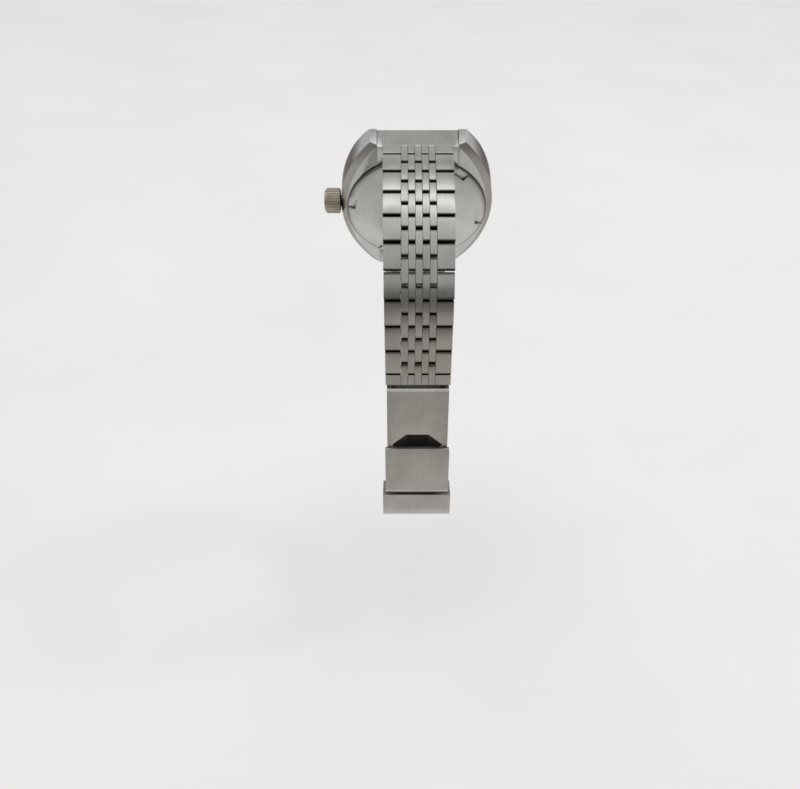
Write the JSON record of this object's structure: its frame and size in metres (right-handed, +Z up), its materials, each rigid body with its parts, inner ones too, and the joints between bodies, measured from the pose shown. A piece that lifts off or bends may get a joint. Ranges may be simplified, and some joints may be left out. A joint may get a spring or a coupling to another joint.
{
  "type": "automatic watch",
  "caption": "Wristwatch with a tonneau steel case, self-winding movement and fully linked steel strap closed by a folding clasp.",
  "frame": {"origin": "centre of the caseback's outer flat face, where the wrist or a display stand carries the watch", "axes": "+Z up with the watch closed in a loop as it stands on display; +Y level, away from the clasp; the dial faces +Y and 25 degrees up; +X points to 9 o'clock, the crown to -X"},
  "size_m": [0.0416, 0.0558, 0.0876],
  "materials": {
    "polished_steel": "worn polish with fine scratches",
    "satin_steel": "fine lengthwise satin",
    "movement_steel": "fine grained",
    "brass": "plain",
    "crystal": "clear domed glass",
    "dial_paint": "silvered sunburst",
    "bright_trim": "polished",
    "rubber": "moulded"
  },
  "bodies": {
    "case": {"mid_case": "polished_steel", "bezel": "polished_steel", "crystal": "crystal", "chapter_ring": "dial_paint", "dial": "dial_paint", "hour_markers": "bright_trim", "movement_ring": "movement_steel", "mainplate": "brass", "train_bridge": "movement_steel", "caseback": "satin_steel", "seals": "rubber", "lug_spring_bars": "polished_steel", "end_link_12": "polished_steel", "end_link_6": "polished_steel"},
    "crown_stem": {"stem": "polished_steel"},
    "crown": {"crown": "polished_steel"},
    "seconds": {"second_hand": "bright_trim", "fourth_wheel": "brass"},
    "minutes": {"minute_hand": "bright_trim", "centre_wheel": "brass"},
    "hours": {"hour_hand": "bright_trim"},
    "third": {"third_wheel": "brass"},
    "escape": {"escape_wheel": "movement_steel"},
    "mainspring_barrel": {"barrel": "brass"},
    "balance": {"balance_wheel": "brass"},
    "winding_rotor": {"rotor": "movement_steel"},
    "clasp": {"clasp_cover": "satin_steel"},
    "flap": {"safety_flap": "satin_steel"},
    "blade_outer": {"outer_blade": "satin_steel"},
    "blade_inner": {"inner_blade": "satin_steel"},
    "strap12_row_01": {"strap12_row_01": "polished_steel"},
    "strap12_row_02": {"strap12_row_02": "polished_steel"},
    "strap12_row_03": {"strap12_row_03": "polished_steel"},
    "strap12_row_04": {"strap12_row_04": "polished_steel"},
    "strap12_row_05": {"strap12_row_05": "polished_steel"},
    "strap12_row_06": {"strap12_row_06": "polished_steel"},
    "strap12_row_07": {"strap12_row_07": "polished_steel"},
    "strap12_row_08": {"strap12_row_08": "polished_steel"},
    "strap12_row_09": {"strap12_row_09": "polished_steel"},
    "strap12_row_10": {"strap12_row_10": "polished_steel"},
    "strap12_row_11": {"strap12_row_11": "polished_steel"},
    "strap12_row_12": {"strap12_row_12": "polished_steel"},
    "strap12_row_13": {"strap12_row_13": "polished_steel"},
    "strap12_row_14": {"strap12_row_14": "polished_steel"},
    "strap12_row_15": {"strap12_row_15": "polished_steel"},
    "strap12_row_16": {"strap12_row_16": "polished_steel"},
    "strap12_row_17": {"strap12_row_17": "polished_steel"},
    "strap12_row_18": {"strap12_row_18": "polished_steel"},
    "strap12_row_19": {"strap12_row_19": "polished_steel"},
    "strap6_link_01": {"strap6_link_01": "polished_steel"},
    "strap6_link_02": {"strap6_link_02": "polished_steel"},
    "strap6_link_03": {"strap6_link_03": "polished_steel"},
    "strap6_link_04": {"strap6_link_04": "polished_steel"},
    "strap6_link_05": {"strap6_link_05": "polished_steel"},
    "strap6_link_06": {"strap6_link_06": "polished_steel"},
    "strap6_link_07": {"strap6_link_07": "polished_steel"},
    "strap6_link_08": {"strap6_link_08": "polished_steel"},
    "strap6_link_09": {"strap6_link_09": "polished_steel"},
    "strap6_link_10": {"strap6_link_10": "polished_steel"},
    "strap6_link_11": {"strap6_link_11": "polished_steel"}
  },
  "joints": [
    {"name": "link12_01_turn", "type": "hinge", "parent": "case", "child": "strap12_row_01", "pos_m": [0, -0.00892, 0.01748], "axis": [1, 0, 0], "range_deg": [-3.2, 0]},
    {"name": "link12_02_turn", "type": "hinge", "parent": "strap12_row_01", "child": "strap12_row_02", "pos_m": [0, -0.01177, 0.01661], "axis": [1, 0, 0], "range_deg": [-3.2, 0]},
    {"name": "link12_03_turn", "type": "hinge", "parent": "strap12_row_02", "child": "strap12_row_03", "pos_m": [0, -0.01456, 0.01558], "axis": [1, 0, 0], "range_deg": [-3.2, 0]},
    {"name": "link12_04_turn", "type": "hinge", "parent": "strap12_row_03", "child": "strap12_row_04", "pos_m": [0, -0.0173, 0.0144], "axis": [1, 0, 0], "range_deg": [-3.2, 0]},
    {"name": "link12_05_turn", "type": "hinge", "parent": "strap12_row_04", "child": "strap12_row_05", "pos_m": [0, -0.01996, 0.01306], "axis": [1, 0, 0], "range_deg": [-3.2, 0]},
    {"name": "link12_06_turn", "type": "hinge", "parent": "strap12_row_05", "child": "strap12_row_06", "pos_m": [0, -0.02255, 0.01158], "axis": [1, 0, 0], "range_deg": [-3.2, 0]},
    {"name": "link12_07_turn", "type": "hinge", "parent": "strap12_row_06", "child": "strap12_row_07", "pos_m": [0, -0.02505, 0.00996], "axis": [1, 0, 0], "range_deg": [-3.2, 0]},
    {"name": "link12_08_turn", "type": "hinge", "parent": "strap12_row_07", "child": "strap12_row_08", "pos_m": [0, -0.02745, 0.0082], "axis": [1, 0, 0], "range_deg": [-6.85, 0]},
    {"name": "link12_09_turn", "type": "hinge", "parent": "strap12_row_08", "child": "strap12_row_09", "pos_m": [0, -0.02963, 0.00616], "axis": [1, 0, 0], "range_deg": [-6.85, 0]},
    {"name": "link12_10_turn", "type": "hinge", "parent": "strap12_row_09", "child": "strap12_row_10", "pos_m": [0, -0.03155, 0.00389], "axis": [1, 0, 0], "range_deg": [-6.85, 0]},
    {"name": "link12_11_turn", "type": "hinge", "parent": "strap12_row_10", "child": "strap12_row_11", "pos_m": [0, -0.03319, 0.00139], "axis": [1, 0, 0], "range_deg": [-6.85, 0]},
    {"name": "link12_12_turn", "type": "hinge", "parent": "strap12_row_11", "child": "strap12_row_12", "pos_m": [0, -0.03451, -0.00128], "axis": [1, 0, 0], "range_deg": [-6.85, 0]},
    {"name": "link12_13_turn", "type": "hinge", "parent": "strap12_row_12", "child": "strap12_row_13", "pos_m": [0, -0.03551, -0.00408], "axis": [1, 0, 0], "range_deg": [-6.85, 0]},
    {"name": "link12_14_turn", "type": "hinge", "parent": "strap12_row_13", "child": "strap12_row_14", "pos_m": [0, -0.03616, -0.00699], "axis": [1, 0, 0], "range_deg": [-6.85, 0]},
    {"name": "link12_15_turn", "type": "hinge", "parent": "strap12_row_14", "child": "strap12_row_15", "pos_m": [0, -0.03647, -0.00996], "axis": [1, 0, 0], "range_deg": [-0.8, 0]},
    {"name": "link12_16_turn", "type": "hinge", "parent": "strap12_row_15", "child": "strap12_row_16", "pos_m": [0, -0.03673, -0.01292], "axis": [1, 0, 0], "range_deg": [-0.8, 0]},
    {"name": "link12_17_turn", "type": "hinge", "parent": "strap12_row_16", "child": "strap12_row_17", "pos_m": [0, -0.03695, -0.0159], "axis": [1, 0, 0], "range_deg": [-0.8, 0]},
    {"name": "link12_18_turn", "type": "hinge", "parent": "strap12_row_17", "child": "strap12_row_18", "pos_m": [0, -0.03713, -0.01887], "axis": [1, 0, 0], "range_deg": [-0.8, 0]},
    {"name": "link12_19_turn", "type": "hinge", "parent": "strap12_row_18", "child": "strap12_row_19", "pos_m": [0, -0.03727, -0.02185], "axis": [1, 0, 0], "range_deg": [-0.8, 0]},
    {"name": "clasp_lift", "type": "hinge", "parent": "strap12_row_19", "child": "clasp", "pos_m": [0, -0.0375, -0.02901], "axis": [1, 0, 0], "range_deg": [-30, 0]},
    {"name": "flap_open", "type": "hinge", "parent": "clasp", "child": "flap", "pos_m": [0, -0.03907, -0.05499], "axis": [1, 0, 0], "range_deg": [0, 100]},
    {"name": "outer_blade_unfold", "type": "hinge", "parent": "clasp", "child": "blade_outer", "pos_m": [0, -0.03666, -0.05423], "axis": [1, 0, 0], "range_deg": [-70, 0]},
    {"name": "inner_blade_unfold", "type": "hinge", "parent": "blade_outer", "child": "blade_inner", "pos_m": [0, -0.03521, -0.02986], "axis": [1, 0, 0], "range_deg": [0, 40]},
    {"name": "link6_01_turn", "type": "hinge", "parent": "case", "child": "strap6_link_01", "pos_m": [0, 0.00827, -0.01956], "axis": [1, 0, 0], "range_deg": [0, 6.54]},
    {"name": "link6_02_turn", "type": "hinge", "parent": "strap6_link_01", "child": "strap6_link_02", "pos_m": [0, 0.00718, -0.02542], "axis": [1, 0, 0], "range_deg": [0, 6.42]},
    {"name": "link6_03_turn", "type": "hinge", "parent": "strap6_link_02", "child": "strap6_link_03", "pos_m": [0, 0.00544, -0.03112], "axis": [1, 0, 0], "range_deg": [0, 6.42]},
    {"name": "link6_04_turn", "type": "hinge", "parent": "strap6_link_03", "child": "strap6_link_04", "pos_m": [0, 0.00308, -0.03659], "axis": [1, 0, 0], "range_deg": [0, 6.42]},
    {"name": "link6_05_turn", "type": "hinge", "parent": "strap6_link_04", "child": "strap6_link_05", "pos_m": [0, 0.00012, -0.04176], "axis": [1, 0, 0], "range_deg": [0, 6.42]},
    {"name": "link6_06_turn", "type": "hinge", "parent": "strap6_link_05", "child": "strap6_link_06", "pos_m": [0, -0.00341, -0.04657], "axis": [1, 0, 0], "range_deg": [0, 6.42]},
    {"name": "link6_07_turn", "type": "hinge", "parent": "strap6_link_06", "child": "strap6_link_07", "pos_m": [0, -0.00744, -0.05096], "axis": [1, 0, 0], "range_deg": [0, 6.42]},
    {"name": "link6_08_turn", "type": "hinge", "parent": "strap6_link_07", "child": "strap6_link_08", "pos_m": [0, -0.01194, -0.05486], "axis": [1, 0, 0], "range_deg": [0, 6.42]},
    {"name": "link6_09_turn", "type": "hinge", "parent": "strap6_link_08", "child": "strap6_link_09", "pos_m": [0, -0.01685, -0.05824], "axis": [1, 0, 0], "range_deg": [0, 6.42]},
    {"name": "link6_10_turn", "type": "hinge", "parent": "strap6_link_09", "child": "strap6_link_10", "pos_m": [0, -0.02211, -0.06105], "axis": [1, 0, 0], "range_deg": [0, 6.42]},
    {"name": "link6_11_turn", "type": "hinge", "parent": "strap6_link_10", "child": "strap6_link_11", "pos_m": [0, -0.02765, -0.06325], "axis": [1, 0, 0], "range_deg": [0, 6.42]},
    {"name": "crown_pull", "type": "slide", "parent": "case", "child": "crown_stem", "axis": [-1, 0, 0], "range_m": [0, 0.0015]},
    {"name": "crown_turn", "type": "hinge", "parent": "crown_stem", "child": "crown", "pos_m": [-0.01895, 0.00353, 0.00165], "axis": [-1, 0, 0], "continuous": true},
    {"name": "seconds_turn", "type": "hinge", "parent": "case", "child": "seconds", "pos_m": [0, 0.00363, 0.00169], "axis": [0, -0.9063, -0.4226], "continuous": true},
    {"name": "minutes_turn", "type": "hinge", "parent": "case", "child": "minutes", "pos_m": [0, 0.00363, 0.00169], "axis": [0, -0.9063, -0.4226], "continuous": true},
    {"name": "hours_turn", "type": "hinge", "parent": "case", "child": "hours", "pos_m": [0, 0.00589, 0.00275], "axis": [0, -0.9063, -0.4226], "continuous": true},
    {"name": "third_turn", "type": "hinge", "parent": "case", "child": "third", "pos_m": [0.0033, 0.00498, -0.00121], "axis": [0, 0.9063, 0.4226], "continuous": true},
    {"name": "escape_turn", "type": "hinge", "parent": "case", "child": "escape", "pos_m": [-0.0026, 0.00494, -0.00112], "axis": [0, 0.9063, 0.4226], "continuous": true},
    {"name": "barrel_turn", "type": "hinge", "parent": "case", "child": "mainspring_barrel", "pos_m": [0.0044, 0.00177, 0.00568], "axis": [0, 0.9063, 0.4226], "continuous": true},
    {"name": "balance_swing", "type": "hinge", "parent": "case", "child": "balance", "pos_m": [-0.0062, 0.00633, -0.00411], "axis": [0, 0.9063, 0.4226], "range_deg": [-270, 270], "stiffness_Nm_per_rad": 0.0000002},
    {"name": "rotor_turn", "type": "hinge", "parent": "case", "child": "winding_rotor", "pos_m": [0, 0.00181, 0.00085], "axis": [0, 0.9063, 0.4226], "continuous": true}
  ],
  "couplings": [
    {"joint": "outer_blade_unfold", "follows": "clasp_lift", "ratio": 2.3333},
    {"joint": "inner_blade_unfold", "follows": "clasp_lift", "ratio": -1.3333},
    {"joint": "minutes_turn", "follows": "seconds_turn", "ratio": 0.016667},
    {"joint": "hours_turn", "follows": "seconds_turn", "ratio": 0.0013889},
    {"joint": "third_turn", "follows": "seconds_turn", "ratio": 0.125},
    {"joint": "escape_turn", "follows": "seconds_turn", "ratio": 10},
    {"joint": "barrel_turn", "follows": "seconds_turn", "ratio": 0.0022222}
  ]
}
